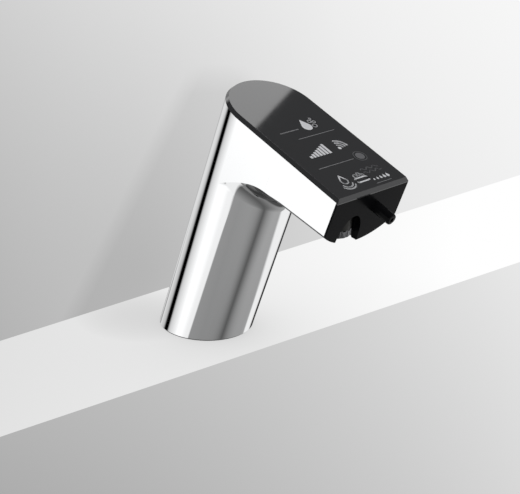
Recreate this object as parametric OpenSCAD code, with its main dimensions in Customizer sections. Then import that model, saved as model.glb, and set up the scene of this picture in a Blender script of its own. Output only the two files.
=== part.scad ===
// A leaning deck tap that gives water and soap without being touched.
// Lengths are in millimetres. Z is up from the deck, and the user stands on the -Y side.
// Most pieces are drawn in the leaning frame of the column: z runs up its axis and -y out along
// the head. Its origin is the centre of the foot on the deck.

/* [Column] */
// Diameter of the column, which is also the width of the head
column_d = 52; // [49:0.5:56]
// Length of the column along its axis, from the deck to the rim under the cover
column_h = 148; // [130:1:175]
// Angle by which the column leans towards the user
lean_angle = 22; // [18:1:26]
// Wall of the casting
wall = 3; // [2.6:0.1:3.4]

/* [Head] */
// Reach of the head from the column's axis to the nose
head_reach = 74.5; // [71:0.5:95]
// Height of the side walls at the nose
side_h = 21; // [20:0.5:23]
// How far the underside bows down below the side walls
belly_drop = 9; // [8:0.5:11]
// Angle by which the underside falls from the nose to the column
taper_angle = 4; // [3:0.5:6]
// Radius of the lower edges of the side walls
edge_r = 2; // [1:0.25:3]
// Radius of the blend between the column and the underside
neck_r = 14; // [9:0.5:14.5]

/* [Cover] */
// Thickness of the cover above the rim
cover_t = 2; // [1.6:0.1:2.6]
// Width of the bevel round the cover's top
bevel_w = 1.4; // [0.8:0.1:2]
// Thickness of the gasket under the cover
gasket_t = 0.8; // [0.6:0.1:1]
// Width of the gasket
gasket_w = 1.5; // [1.2:0.1:1.7]
// Depth of the ring that locates the cover in the casting
locator_h = 3; // [2:0.25:3]
// Wall of that ring
locator_t = 1.4; // [1:0.1:1.8]

/* [Nose] */
// Thickness of the nose plate's flange in front of the casting
flange_t = 1.2; // [0.8:0.1:1.6]
// Thickness of the whole nose wall
nose_t = 3.5; // [3:0.1:4]
// Height of the nose plate's ears below the rim
ear_drop = 9; // [8.8:0.1:9.5]
// Thickness of the ears
ear_t = 2; // [1.6:0.1:2.4]
// Distance of the ears' screws from the nose
ear_back = 14.5; // [13:0.5:16]

/* [Water outlet] */
// Distance of the water outlet's axis from the inside of the left wall
outlet_side = 15; // [14.5:0.25:16]
// Distance of the outlet's mouth behind the nose
outlet_back = 9; // [8.5:0.25:10]
// Height of the mouth above the lowest line of the nose
outlet_up = 1.25; // [1:0.25:3]
// Angle of the outlet against the column's axis
outlet_tilt = 15; // [10:1:17]
// Diameter of the aerator's ring
aerator_d = 18; // [17:0.25:18.5]
// Height of that ring
aerator_h = 4; // [3:0.25:5]
// Number of grip flutes round the ring
flute_count = 16; // [8:1:24]
// Radius of a grip flute
flute_r = 1; // [0.6:0.1:1.2]
// Outer diameter of the aerator's thread
thread_d = 16; // [15:0.25:16.5]
// Length of the aerator's thread
thread_h = 6; // [5:0.25:6.5]
// Diameter of the flow insert
insert_d = 12.6; // [11.5:0.1:13]
// Height of the flow insert
insert_h = 7; // [6:0.25:8]
// Width of one hexagonal cell of the insert
cell_w = 2; // [1.6:0.1:2.2]
// Rib between two cells
cell_rib = 0.5; // [0.4:0.05:0.8]
// Thickness of the flat rubber seal above the aerator
seal_ring_t = 1.2; // [1:0.1:1.5]
// Gap round the outlet in the nose's pocket
pocket_gap = 0.7; // [0.6:0.05:0.9]
// Wall of the nose's chin round the pocket
chin_wall = 1.8; // [1.5:0.1:2]
// Radius of the scoop that opens the pocket in the nose's face
scoop_r = 8.4; // [8:0.1:8.8]
// Angle of that scoop
scoop_tilt = 31; // [28:1:36]

/* [Soap outlet] */
// Distance of the soap nozzle's axis to the right of the water outlet's
soap_side = 13.5; // [13.5:0.25:16]
// Outer diameter of the nozzle
soap_d = 6; // [5:0.25:6]
// How far the nozzle stands out of the nose
soap_out = 12; // [8:0.5:16]
// Length of the nozzle behind the nose
soap_in = 12; // [10:0.5:16]
// Outer diameter of the soap pipe
soap_pipe_d = 4; // [3:0.25:4]
// Thickness of the grommet that holds the nozzle
grommet_t = 3; // [2:0.25:3]
// Radial thickness of that grommet
grommet_w = 0.8; // [0.6:0.05:0.8]

/* [Electronics] */
// Depth of the tray's underside below the rim
tray_drop = 6.8; // [6.6:0.1:6.8]
// Thickness of the tray
tray_t = 1.2; // [1:0.1:1.4]
// Gap between the circuit board's sides and the casting
board_gap = 6; // [6:0.25:8]
// Thickness of the circuit board
board_t = 1.6; // [1.2:0.1:1.7]
// Length of the board behind the column's axis
board_back = 15; // [12:0.5:16]
// Height of the three sensors on the board
sensor_h = 2.8; // [2:0.1:3]
// Width and length of a sensor
sensor_size = [9, 5];
// Length of one light well along the head
well_l = 9; // [8:0.5:10]
// Wall of a light well
well_wall = 1; // [0.8:0.1:1.2]
// Places of the sensors along the head, as shares of its reach
sensor_shares = [0.22, 0.5, 0.82];

/* [Pipes] */
// Outer diameter of the water pipe
pipe_d = 8; // [7:0.25:8]
// Wall of the water pipe
pipe_wall = 1; // [0.8:0.1:1.2]
// Radius of both pipes' bends
bend_r = 14; // [12:0.5:16]

/* [Foot] */
// Height of the brass plug in the foot
plug_h = 18; // [17:0.5:22]
// Thickness of the seal between the casting and the deck
foot_seal_t = 0.8; // [0.6:0.1:1.2]
// Diameter of the threaded port for the water hose
water_port_d = 10; // [9:0.25:10]
// Diameter of the port for the soap line
soap_port_d = 6.1; // [5.5:0.1:6.5]
// Depth of both ports
port_h = 9.5; // [8:0.25:9.5]
// Place of the cable grommet, in front of the hose ports
cable_place = [0.5, -15];
// Outer diameter of the cable grommet
cable_grommet_d = 9; // [8:0.25:9]
// Diameter of the cable's hole
cable_d = 5; // [4:0.25:5.5]

/* [Fixing kit] */
// Diameter of the fixing stud
stud_d = 8; // [7:0.25:8]
// Distance of the stud in front of the back of the column's bore
stud_back = 9.5; // [9:0.25:10]
// Length of the stud below the deck's top
stud_l = 75; // [62:1:100]
// Length of the stud inside the plug
stud_bite = 11; // [9:0.5:11]
// Thickness of the deck that the kit is drawn clamping
deck_t = 20; // [10:1:28]
// Diameter of the clamping washers
clamp_d = 50; // [46:1:54]
// Thickness of the rubber washer
rubber_t = 3; // [2:0.25:4]
// Thickness of the steel washer
steel_t = 2.5; // [2:0.25:3]
// Least bridge of the washers between their slot and the stud's hole
slot_bridge = 2.61; // [2.2:0.01:3.2]
// Width across the nut's flats
nut_w = 13; // [12:0.5:14]
// Length of the nut
nut_l = 20; // [12:1:20]

/* [Fits] */
// Gap round a piece that is pushed into another
fit_gap = 0.1; // [0.05:0.01:0.15]
// Gap between pieces that move or lie side by side
side_gap = 0.3; // [0.25:0.01:0.35]
// Radial gap of the turning threads
turn_gap = 0.05; // [0.03:0.01:0.08]

/* [Small screws] */
// Diameter of the screws' shanks
screw_d = 2; // [1.8:0.1:2.2]
// Diameter of their heads
screw_head_d = 3.8; // [3.4:0.1:4]
// Height of their heads
screw_head_h = 1.4; // [1.2:0.1:1.5]
// Length of a screw's thread in its lug
screw_bite = 4; // [3:0.25:5]
// Radius of the cast lugs that take the screws
lug_r = 2.6; // [2.4:0.05:2.8]
// Height of the lugs
lug_h = 6; // [5:0.25:7]

/* [Hidden] */
$fn = 72;

// Overrun of every cut past the face that it opens
over = 1;
// Overlap of the parts of a bent pipe
joint_lap = 0.02;
column_r = column_d / 2;
bore_r = column_r - wall;
rim = column_h;
nose = -head_reach;
span = column_h + head_reach;

// Underside of the head
belly_r = (column_r * column_r + belly_drop * belly_drop) / (2 * belly_drop);
belly_z = rim - side_h - belly_drop + belly_r;
nose_low = rim - side_h - belly_drop;

// Cover and nose
locator_in = wall + fit_gap;
bevel_top = column_r - bevel_w;
ear_x = bore_r - lug_r + turn_gap * 10;
ear_y = nose + ear_back;
ear_r = lug_r * 0.7;
tray_front = nose + nose_t + grommet_t + fit_gap * 4;
tray_lug_ys = [-column_r * 0.16, (nose + ear_y) * 0.32];

// Water outlet, measured up its own axis from the mouth
outlet_x = outlet_side - bore_r;
soap_x = outlet_x + soap_side;
outlet_y = nose + outlet_back;
outlet_z = nose_low + outlet_up;
aerator_r = aerator_d / 2;
thread_r = thread_d / 2;
seal_ring_low = aerator_h + thread_h;
chamber_low = seal_ring_low + seal_ring_t;
insert_low = fit_gap * 10;
insert_r = insert_d / 2;
screen_t = (seal_ring_low - insert_low - insert_h) / 2;
seal_hole_r = insert_r - (thread_r - insert_r) / 2;
pocket_r = aerator_r + pocket_gap;
chin_r = pocket_r + chin_wall;

// Water passage and the block above the chin
pipe_r = pipe_d / 2;
pipe_bore_r = pipe_r - pipe_wall;
passage_r = pipe_bore_r * 1.3;
socket_wall = 1.4;
socket_r = pipe_r + fit_gap;
block_half_h = socket_r + socket_wall;
block_top = rim - tray_drop - side_gap;
passage_z = block_top - block_half_h;
block_low = passage_z - block_half_h;
block_half_w = thread_r + socket_wall;
block_front = nose + nose_t + side_gap;
socket_l = pipe_d;
block_back = outlet_y + aerator_d + socket_l * 0.5;
flange_h = ear_t;
flange_l = screw_head_d + socket_wall;

// Soap line
soap_r = soap_d / 2;
soap_pipe_r = soap_pipe_d / 2;
soap_bore_r = soap_pipe_r * 0.6;
soap_z = rim - tray_drop - soap_r - side_gap;
soap_overlap = soap_in / 2;

// Electronics, as heights in the leaning frame
tray_low = rim - tray_drop;
board_low = tray_low + tray_t + side_gap;
board_top = board_low + board_t;
board_front = tray_front + grommet_t / 2;
board_w = 2 * (bore_r - board_gap);
sensor_x = board_w / 4;
well_size = [board_w / 2 - 2 * well_wall, well_l];
well_x = -board_w / 2 + well_size[0] / 2 + well_wall;
well_h = rim - board_top - side_gap;
led_size = [1.6, 1.6, 0.8];
connector_size = [10, 5, 2.8];

// Foot, in the upright frame
port_y = -port_h * tan(lean_angle) * 0.8;
pipe_foot = (port_h + pipe_r * sin(lean_angle) + side_gap) / cos(lean_angle);
plug_r = bore_r - fit_gap;
seal_in = bore_r + side_gap;
seal_out = column_r - side_gap * 2;
stud_r = stud_d / 2;
stud_y = bore_r - stud_back;
stud_hole_r = stud_r + side_gap * 1.3;
grommet_h = port_h;

// Clamping washers: a disc with a slot that lets the hoses pass
clamp_r = clamp_d / 2;
slot_r = clamp_r * 0.58;
slot_y = stud_y - stud_hole_r - slot_bridge - slot_r;
rubber_low = -deck_t - rubber_t;
steel_low = rubber_low - steel_t;
nut_low = steel_low - nut_l;

// Draws its children in the column's leaning frame
module lean() { rotate([lean_angle, 0, 0]) children(); }

// Draws its children up the water outlet's own axis, from the middle of its mouth
module at_outlet() {
    translate([outlet_x, outlet_y, outlet_z]) rotate([-outlet_tilt, 0, 0]) children();
}

// A round bar or ring that points out along the head, from y = back to y = front
module along_head(x, z, back, front, r) {
    translate([x, back, z]) rotate([90, 0, 0]) cylinder(r = r, h = back - front);
}

// Outline of the head seen down the column: a round back and a square nose. The square part
// stops just short of the line where its sides would only graze the round part.
module plan(inset, front) {
    circle(r = column_r - inset);
    translate([inset - column_r, front]) square([column_d - 2 * inset, -front - over]);
}

// The same outline as a plate between two heights
module plate(inset, front, low, high) {
    translate([0, 0, low]) linear_extrude(high - low) plan(inset, front);
}

// Section across the head: upright sides, rounded lower edges and a bowed underside
module head_section(inset) {
    half = column_r - inset;
    bow = belly_r - inset;
    edge_x = half - edge_r;
    edge_z = belly_z - sqrt(pow(bow - edge_r, 2) - pow(edge_x, 2));
    meet_x = edge_x * bow / (bow - edge_r);
    translate([-half, edge_z]) square([2 * half, span]);
    intersection() {
        translate([0, belly_z]) circle(r = bow);
        translate([-meet_x, belly_z - bow - over]) square([2 * meet_x, span]);
    }
    for (side = [-1, 1]) translate([side * edge_x, edge_z]) circle(r = edge_r);
}

// The head as a bar of that section, falling towards the column, cut to the outline
module head_bar(inset, front, high) {
    intersection() {
        translate([inset - column_r, front, 0]) cube([column_d - 2 * inset, -front - over, high]);
        translate([0, nose, rim]) rotate([-taper_angle, 0, 0]) translate([0, head_reach * 2, -rim])
            rotate([90, 0, 0]) linear_extrude(head_reach * 3) head_section(inset);
    }
}

// Height of the underside at a place below the head
function underside(x, y) = let (px = min(abs(x), column_r))
    rim + (belly_z - sqrt(belly_r * belly_r - px * px) - rim) / cos(taper_angle)
    - (y - nose) * tan(taper_angle);

// One rib of the neck's blend: a quarter round from the column to the underside
neck_steps = 10;
neck_turn = 5;
function neck_rib(turn) = let (s = sin(turn), c = -cos(turn)) concat(
    [for (i = [0 : neck_steps]) let (
        a = 90 * i / neck_steps,
        r = column_r - fit_gap + neck_r * (1 - cos(a))
    ) [r * s, r * c, underside(r * s, r * c) - neck_r * (1 - sin(a)) + fit_gap]],
    [for (r = [column_r + neck_r - fit_gap, column_r - wall / 2])
        [r * s, r * c, underside(r * s, r * c) + wall / 2]]
);

// The blend in the neck, as a skin of such ribs round the front of the column
module neck_blend() {
    turns = [for (t = [-95 : neck_turn : 95]) t];
    per = neck_steps + 3;
    last = len(turns) - 1;
    intersection() {
        polyhedron(
            points = [for (t = turns) each neck_rib(t)],
            faces = concat(
                [[for (i = [per - 1 : -1 : 0]) i]],
                [for (k = [0 : last - 1]) for (i = [0 : per - 1]) let (
                    a = k * per + i, b = k * per + (i + 1) % per
                ) each [[a, b, a + per], [b, b + per, a + per]]],
                [[for (i = [0 : per - 1]) last * per + i]]
            )
        );
        translate([-column_r, nose, 0]) cube([column_d, head_reach - over, rim]);
    }
}

// Everything above a level of the upright frame
module above(level) {
    intersection() {
        children();
        translate([-span, -span, level]) cube(2 * span);
    }
}

// Everything between two levels of the upright frame
module between(low, high) {
    intersection() {
        children();
        translate([-span, -span, low]) cube([2 * span, 2 * span, high - low]);
    }
}

// The chin under the outlet: round behind and straight to the nose in front
module chin(gap) {
    at_outlet() {
        translate([0, 0, -column_r]) cylinder(r = chin_r + gap, h = column_d);
        translate([-chin_r - gap, -column_d, -column_r])
            cube([2 * (chin_r + gap), column_d, column_d]);
    }
}

// Cast lugs on the inside of both side walls, topped at a height
module lugs(y, top) {
    for (side = [-1, 1]) translate([side * ear_x, y, top - lug_h]) difference() {
        cylinder(r = lug_r, h = lug_h);
        translate([0, 0, lug_h - screw_bite]) cylinder(d = screw_d, h = screw_bite + over);
    }
}

// A pair of pan-head screws that hold something of a thickness on the lugs
module lug_screws(y, top, grip) {
    for (side = [-1, 1]) translate([side * ear_x, y, top]) {
        translate([0, 0, -screw_bite + side_gap]) cylinder(d = screw_d - fit_gap, h = screw_bite + grip);
        translate([0, 0, grip]) difference() {
            cylinder(d = screw_head_d, h = screw_head_h);
            translate([0, 0, screw_head_h / 2]) cylinder(d = screw_d, h = screw_head_h, $fn = 6);
        }
    }
}

// Posts on the floor of the head that take the outlet block's screws
module posts() {
    y = block_back + flange_l / 2;
    for (side = [-1, 1]) translate([outlet_x + side * (block_half_w - flange_l / 2), y, 0]) difference() {
        translate([0, 0, underside(outlet_x, y) + wall / 2])
            cylinder(r = lug_r, h = block_low - underside(outlet_x, y) - wall / 2);
        translate([0, 0, block_low - screw_bite - side_gap]) cylinder(d = screw_d, h = screw_bite + over);
    }
}

// Chromed casting: the leaning column and its hollow head
module body_shell() {
    color("gainsboro") above(foot_seal_t) lean() {
        difference() {
            union() {
                translate([0, 0, -column_r]) cylinder(r = column_r, h = rim + column_r);
                head_bar(0, nose + flange_t, rim);
                neck_blend();
            }
            translate([0, 0, -column_d]) cylinder(r = bore_r, h = span);
            difference() {
                head_bar(wall, nose - over, rim + over);
                translate([0, 0, -over]) cylinder(r = bore_r, h = over);
            }
            difference() {
                plate(gasket_w, nose - over, rim - gasket_t, rim + over);
                cylinder(r = over, h = over);
            }
            intersection() {
                chin(fit_gap);
                translate([-column_r, nose - over, 0]) cube([column_d, head_reach, block_low]);
            }
        }
        lugs(tray_lug_ys[0], tray_low);
        lugs(tray_lug_ys[1], tray_low);
        lugs(ear_y, rim - ear_drop - ear_t);
        posts();
    }
}

// Top of the cover: its bevel runs round the back, along the sides and across the nose
module cover_top() {
    intersection() {
        union() {
            cylinder(r1 = column_r, r2 = bevel_top, h = cover_t);
            rotate([90, 0, 0]) linear_extrude(head_reach) polygon([
                [-column_r, 0], [column_r, 0], [bevel_top, cover_t], [-bevel_top, cover_t]
            ]);
        }
        translate([-column_r, 0, 0]) rotate([90, 0, 90]) linear_extrude(column_d) polygon([
            [nose, 0], [column_d, 0], [column_d, cover_t], [nose + bevel_w, cover_t]
        ]);
    }
}

// Gloss black cover that the sensors look through
module sensor_cover() {
    color("#202022") lean() {
        translate([0, 0, rim]) cover_top();
        translate([-column_r, nose, rim - gasket_t]) cube([column_d, flange_t, gasket_t]);
        difference() {
            plate(locator_in, nose + nose_t + fit_gap, rim - locator_h, rim);
            plate(locator_in + locator_t, nose + nose_t + fit_gap + locator_t,
                rim - locator_h - over, rim + over);
        }
    }
}

// Rubber gasket in the step of the rim
module cover_gasket() {
    color("#303030") lean() difference() {
        plate(gasket_w + fit_gap, nose + gasket_w, rim - gasket_t, rim);
        plate(wall, nose + wall, rim - gasket_t - over, rim + over);
    }
}

// Black nose: a flange over the casting's end, a plug inside it and a chin round the outlet
module nose_plate() {
    color("#1c1c1e") lean() difference() {
        union() {
            intersection() {
                head_bar(0, nose, rim - gasket_t);
                translate([-column_r, nose, 0]) cube([column_d, flange_t, rim]);
            }
            intersection() {
                head_bar(wall + fit_gap, nose, rim - gasket_t);
                translate([-column_r, nose, 0]) cube([column_d, nose_t, rim]);
            }
            intersection() {
                head_bar(0, nose, block_low);
                chin(0);
            }
            for (side = [-1, 1]) translate([side * ear_x, 0, rim - ear_drop - ear_t]) {
                translate([0, ear_y, 0]) cylinder(r = ear_r, h = ear_t);
                translate([-ear_r, nose + over, 0]) cube([2 * ear_r, ear_y - nose - over, ear_t]);
            }
        }
        at_outlet() translate([0, 0, -column_r]) cylinder(r = pocket_r, h = column_d);
        intersection() {
            translate([outlet_x, nose, outlet_z]) rotate([-scoop_tilt, 0, 0])
                translate([0, 0, -column_r]) cylinder(r = scoop_r, h = column_d);
            translate([-column_r, nose - over, 0]) cube([column_d, nose_t + over, rim]);
        }
        along_head(soap_x, soap_z, 0, nose - over, soap_r + fit_gap);
        for (side = [-1, 1]) translate([side * ear_x, ear_y, rim - ear_drop - ear_t - over])
            cylinder(d = screw_d + fit_gap * 2, h = ear_t + 2 * over);
    }
}

// Screws of the nose plate's ears
module nose_screws() { color("silver") lean() lug_screws(ear_y, rim - ear_drop - ear_t, ear_t); }

// Tray that carries the circuit board
module electronics_tray() {
    board_y = board_front + screw_head_d;
    color("#2b2d30") lean() difference() {
        union() {
            plate(wall + side_gap, tray_front, tray_low, tray_low + tray_t);
            for (y = [board_y, (board_y + board_back) / 2, board_back - board_w / 4])
                for (side = [-1, 1])
                    translate([side * (board_w / 2 + side_gap + tray_t / 2) - tray_t / 2, y, tray_low]) {
                        cube([tray_t, screw_head_d, board_top + tray_t - tray_low]);
                        translate([-side * tray_t / 2, 0, board_top + side_gap - tray_low])
                            cube([tray_t, screw_head_d, tray_t - side_gap]);
                    }
        }
        for (y = tray_lug_ys) for (side = [-1, 1])
            translate([side * ear_x, y, tray_low - over]) cylinder(d = screw_d + fit_gap * 2, h = 2 * tray_t + over);
        translate([0, board_back - board_w / 4, tray_low - over])
            cylinder(r = cable_d, h = tray_t + 2 * over);
    }
}

// Screws of the tray
module tray_screws() {
    color("silver") lean() {
        lug_screws(tray_lug_ys[0], tray_low, tray_t);
        lug_screws(tray_lug_ys[1], tray_low, tray_t);
    }
}

// Circuit board with a round back, on small feet of the tray
module sensor_board() {
    color("#1f5a3a") lean() {
        translate([0, 0, board_low]) linear_extrude(board_t) intersection() {
            union() {
                translate([0, board_back - board_w / 2]) circle(d = board_w);
                translate([-board_w / 2, board_front]) square([board_w, board_back - board_w / 2 - board_front]);
            }
            difference() {
                translate([-board_w, board_front]) square([2 * board_w, span]);
                for (y = tray_lug_ys) for (side = [-1, 1])
                    translate([side * ear_x, y]) circle(r = screw_head_d / 2 + side_gap);
            }
        }
        for (y = [board_front + screw_head_d * 2, -board_w / 4]) for (side = [-1, 1])
            translate([side * board_w / 4, y, board_low - side_gap]) cylinder(d = screw_d, h = side_gap);
    }
}

// Three proximity sensors, each a black body with two round lenses
module proximity_sensors() {
    color("#2a1d33") lean() for (share = sensor_shares)
        translate([sensor_x, nose * share, board_top]) {
            translate([-sensor_size[0] / 2, -sensor_size[1] / 2, 0])
                cube([sensor_size[0], sensor_size[1], sensor_h * 0.6]);
            for (side = [-1, 1]) translate([side * sensor_size[0] / 4, 0, 0])
                cylinder(d = sensor_size[1] * 0.7, h = sensor_h);
        }
}

// Two small lamps in each light well
module indicator_leds() {
    color("lightyellow") lean() for (share = sensor_shares) for (side = [-1, 1])
        translate([well_x + side * well_size[0] / 4 - led_size[0] / 2, nose * share - led_size[1] / 2, board_top])
            cube(led_size);
}

// Light wells under the three signs, each with a middle wall
module light_wells() {
    color("whitesmoke") lean() for (share = sensor_shares)
        translate([well_x, nose * share, board_top]) difference() {
            translate([-well_size[0] / 2, -well_size[1] / 2, 0]) cube([well_size[0], well_size[1], well_h]);
            for (side = [-1, 1])
                translate([side * well_size[0] / 4 - (well_size[0] / 2 - 1.5 * well_wall) / 2,
                    well_wall - well_size[1] / 2, -over])
                    cube([well_size[0] / 2 - 1.5 * well_wall, well_size[1] - 2 * well_wall, well_h + 2 * over]);
        }
}

// Header for the cable, open on its top
module board_connector() {
    color("ivory") lean() translate([-connector_size[0] / 2, 0, board_top]) difference() {
        cube(connector_size);
        translate([well_wall, well_wall, well_wall])
            cube([connector_size[0] - 2 * well_wall, connector_size[1] - 2 * well_wall, connector_size[2]]);
    }
}

// Nickel-plated block: it takes the water pipe behind and the aerator's thread below
module outlet_block() {
    color("#77736b") lean() difference() {
        union() {
            translate([outlet_x - block_half_w, block_front, block_low])
                cube([2 * block_half_w, block_back - block_front, 2 * block_half_h]);
            translate([outlet_x - block_half_w, block_back, block_low])
                cube([2 * block_half_w, flange_l, flange_h]);
            intersection() {
                at_outlet() translate([0, 0, aerator_h]) cylinder(r = aerator_r, h = thread_h + seal_ring_t + over);
                cylinder(r = span, h = passage_z);
            }
        }
        at_outlet() {
            translate([0, 0, aerator_h - over]) cylinder(r = thread_r + turn_gap, h = thread_h + seal_ring_t + over);
            cylinder(r = passage_r, h = (passage_z - outlet_z) / cos(outlet_tilt));
        }
        along_head(outlet_x, passage_z, block_back + over, outlet_y, pipe_bore_r);
        along_head(outlet_x, passage_z, block_back + flange_l + over, block_back - socket_l, socket_r);
        along_head(outlet_x, passage_z, block_back + flange_l + over, block_back,
            pipe_r + socket_wall + side_gap);
        for (side = [-1, 1]) translate([outlet_x + side * (block_half_w - flange_l / 2),
            block_back + flange_l / 2, block_low - over])
            cylinder(d = screw_d + fit_gap * 2, h = flange_h + 2 * over);
    }
}

// Screws that hold the block's flange down on the casting's floor
module block_screws() {
    color("silver") lean() for (side = [-1, 1])
        translate([outlet_x + side * (block_half_w - flange_l / 2), block_back + flange_l / 2, block_low]) {
            translate([0, 0, -screw_bite]) cylinder(d = screw_d - fit_gap, h = screw_bite + flange_h);
            translate([0, 0, flange_h]) cylinder(d = screw_head_d, h = screw_head_h);
        }
}

// Chromed ring of the aerator: fluted for the fingers, threaded above
module aerator_ring() {
    color("silver") lean() at_outlet() difference() {
        union() {
            cylinder(r = aerator_r, h = aerator_h - fit_gap);
            cylinder(r = thread_r, h = seal_ring_low);
        }
        translate([0, 0, insert_low]) cylinder(r = insert_r + fit_gap, h = seal_ring_low);
        translate([0, 0, -over]) cylinder(r = insert_r - cell_rib, h = seal_ring_low);
        for (i = [0 : flute_count - 1]) rotate([0, 0, 360 * i / flute_count])
            translate([aerator_r + flute_r / 2, 0, -over]) cylinder(r = flute_r, h = aerator_h);
    }
}

// Flow insert with hexagonal cells in rings round the middle one
module aerator_insert() {
    pitch = cell_w + cell_rib;
    color("whitesmoke") lean() at_outlet() translate([0, 0, insert_low]) difference() {
        cylinder(r = insert_r, h = insert_h);
        for (i = [-2 : 2]) for (j = [-2 : 2]) if (abs(i + j) <= 2)
            translate([pitch * (i + j / 2), pitch * j * sin(60), -over]) rotate([0, 0, 30])
                cylinder(d = cell_w / cos(30), h = insert_h + 2 * over, $fn = 6);
    }
}

// Fine screen on top of the insert, drawn as a disc with a rim
module aerator_screen() {
    color("lightsteelblue") lean() at_outlet() translate([0, 0, insert_low + insert_h]) {
        cylinder(r = insert_r, h = screen_t);
        difference() {
            cylinder(r = insert_r, h = 2 * screen_t);
            cylinder(r = insert_r - cell_rib, h = 3 * screen_t);
        }
    }
}

// Flat rubber seal between the aerator and the block
module aerator_seal() {
    color("#2a2a2a") lean() at_outlet() translate([0, 0, seal_ring_low]) difference() {
        cylinder(r = thread_r - fit_gap, h = seal_ring_t);
        translate([0, 0, -over]) cylinder(r = seal_hole_r, h = seal_ring_t + 2 * over);
    }
}

// A bent bar: from the foot up the column, round a bend and out along the head. Its straight
// parts reach a little into the bend, so that the three are one body.
module bent_bar(x, z, r, low, front) {
    translate([x, 0, low]) cylinder(r = r, h = z - bend_r - low + joint_lap);
    translate([x, -bend_r, z - bend_r]) rotate([90, 0, 90])
        rotate_extrude(angle = 90) translate([bend_r, 0]) circle(r = r);
    along_head(x, z, joint_lap - bend_r, front, r);
}

// A bent pipe of that shape
module bent_pipe(x, z, r, bore, low, front) {
    difference() {
        bent_bar(x, z, r, low, front);
        bent_bar(x, z, bore, low - over, front - over);
    }
}

// Copper water pipe from the foot to the block
module water_pipe() {
    color("peru") lean()
        bent_pipe(outlet_x, passage_z, pipe_r, pipe_bore_r, pipe_foot, block_back - socket_l + fit_gap);
}

// Rubber rings that seal the water pipe's ends against the block and the plug
module pipe_seals() {
    color("#2a2a2a") lean() {
        difference() {
            along_head(outlet_x, passage_z, block_back + flange_l / 2, block_back + fit_gap, pipe_r + socket_wall);
            along_head(outlet_x, passage_z, block_back + flange_l, block_back - over, pipe_r + fit_gap / 2);
        }
        translate([outlet_x, 0, plug_h / cos(lean_angle) + pipe_r]) difference() {
            cylinder(r = pipe_r + socket_wall, h = socket_wall);
            translate([0, 0, -over]) cylinder(r = pipe_r + fit_gap / 2, h = socket_wall + 2 * over);
        }
    }
}

// Black soap nozzle: its back end takes the soap pipe
module soap_nozzle() {
    color("#161618") lean() difference() {
        along_head(soap_x, soap_z, nose + soap_in, nose - soap_out, soap_r);
        along_head(soap_x, soap_z, nose + soap_in + over, nose - soap_out - over, soap_bore_r);
        along_head(soap_x, soap_z, nose + soap_in + over, nose + soap_overlap, soap_pipe_r + fit_gap / 2);
    }
}

// Rubber grommet that grips the nozzle behind the nose
module nozzle_grommet() {
    color("#303030") lean() difference() {
        along_head(soap_x, soap_z, nose + nose_t + grommet_t, nose + nose_t, soap_r + grommet_w);
        along_head(soap_x, soap_z, nose + nose_t + grommet_t + over, nose, soap_r + fit_gap / 2);
    }
}

// Soap pipe from the foot to the nozzle
module soap_pipe() {
    color("ivory") lean()
        bent_pipe(soap_x, soap_z, soap_pipe_r, soap_bore_r, pipe_foot, nose + soap_overlap + fit_gap);
}

// Brass plug in the foot: it holds the pipes, the hose ports, the stud and the cable grommet
module foot_plug() {
    color("goldenrod") difference() {
        between(0, plug_h) lean() translate([0, 0, -column_d]) cylinder(r = plug_r, h = span);
        translate([outlet_x, port_y, -over]) cylinder(d = water_port_d, h = port_h + over);
        translate([soap_x, port_y, -over]) cylinder(d = soap_port_d, h = port_h + over);
        lean() {
            translate([outlet_x, 0, pipe_foot]) cylinder(r = socket_r, h = plug_h * 2);
            translate([outlet_x, 0, pipe_foot / 2]) cylinder(r = pipe_bore_r, h = plug_h);
            translate([soap_x, 0, pipe_foot]) cylinder(r = soap_pipe_r + fit_gap / 2, h = plug_h * 2);
            translate([soap_x, 0, pipe_foot / 2]) cylinder(r = soap_bore_r, h = plug_h);
        }
        translate([0, stud_y, -over]) cylinder(r = stud_r + fit_gap / 2, h = stud_bite + over);
        translate([cable_place[0], cable_place[1], -over])
            cylinder(d = cable_grommet_d + fit_gap, h = grommet_h + over);
        translate([cable_place[0], cable_place[1], -over]) cylinder(d = cable_d + over, h = plug_h + 2 * over);
    }
}

// Rubber seal under the casting's lower rim
module foot_seal() {
    color("#202020") between(0, foot_seal_t) lean() translate([0, 0, -column_r]) difference() {
        cylinder(r = seal_out, h = column_d);
        translate([0, 0, -over]) cylinder(r = seal_in, h = column_d + 2 * over);
    }
}

// Rubber grommet for the cable
module cable_grommet() {
    color("#303030") translate([cable_place[0], cable_place[1], 0]) difference() {
        cylinder(d = cable_grommet_d, h = grommet_h);
        translate([0, 0, -over]) cylinder(d = cable_d, h = grommet_h + 2 * over);
    }
}

// Steel stud that pulls the tap down on the deck
module fixing_stud() {
    color("silver") translate([0, stud_y, -stud_l]) cylinder(r = stud_r, h = stud_l + stud_bite);
}

// Horseshoe washer with a slot for the hoses and a hole for the stud
module horseshoe(low, t) {
    translate([0, 0, low]) linear_extrude(t) difference() {
        circle(r = clamp_r);
        translate([0, slot_y]) circle(r = slot_r);
        translate([-slot_r, slot_y - clamp_r]) square([2 * slot_r, clamp_r]);
        translate([0, stud_y]) circle(r = stud_hole_r);
    }
}

// Rubber washer against the underside of the deck
module rubber_washer() { color("#252525") horseshoe(rubber_low, rubber_t); }

// Steel washer below it
module clamp_plate() { color("silver") horseshoe(steel_low, steel_t); }

// Long hexagonal nut that runs on the stud
module fixing_nut() {
    color("darkgoldenrod") translate([0, stud_y, nut_low]) difference() {
        cylinder(d = nut_w / cos(30), h = nut_l, $fn = 6);
        translate([0, 0, -over]) cylinder(r = stud_r + turn_gap, h = nut_l + 2 * over);
    }
}

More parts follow.
